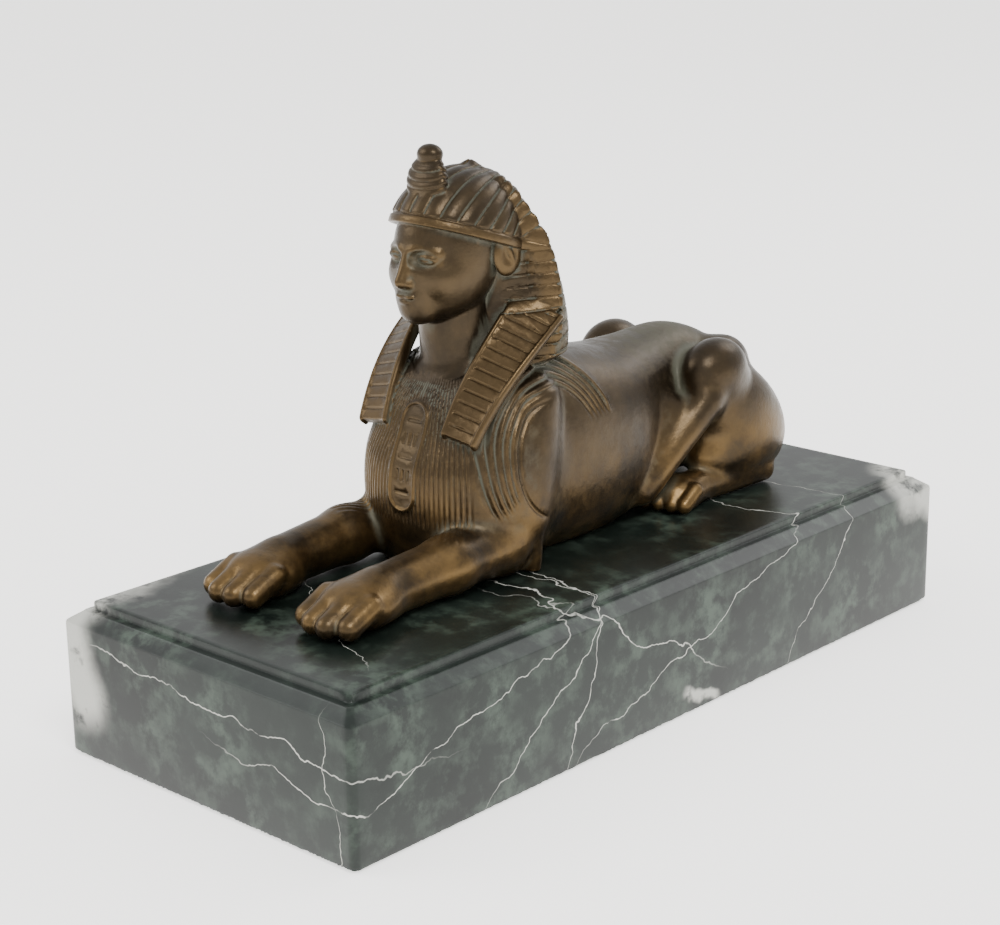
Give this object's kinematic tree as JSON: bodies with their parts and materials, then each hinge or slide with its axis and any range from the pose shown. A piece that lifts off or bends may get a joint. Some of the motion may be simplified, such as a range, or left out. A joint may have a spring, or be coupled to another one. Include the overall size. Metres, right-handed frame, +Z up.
{
  "type": "sphinx statue",
  "caption": "Bronze sphinx in a striped headcloth, lying on a stepped dark green marble plinth with a baize underside.",
  "frame": {"origin": "middle of the underside of the baize pad", "axes": "+Z up, the sphinx faces -Y along the plinth's length, its left side is +X"},
  "size_m": [0.1324, 0.3, 0.1916],
  "materials": {
    "bronze": "dark brown patina, rubbed golden on the high places, satin",
    "marble": "polished dark green marble with white veins",
    "baize": "dark green wool baize"
  },
  "bodies": {
    "root": {"sphinx_figure": "bronze", "marble_plinth": "marble", "baize_pad": "baize"}
  },
  "joints": []
}
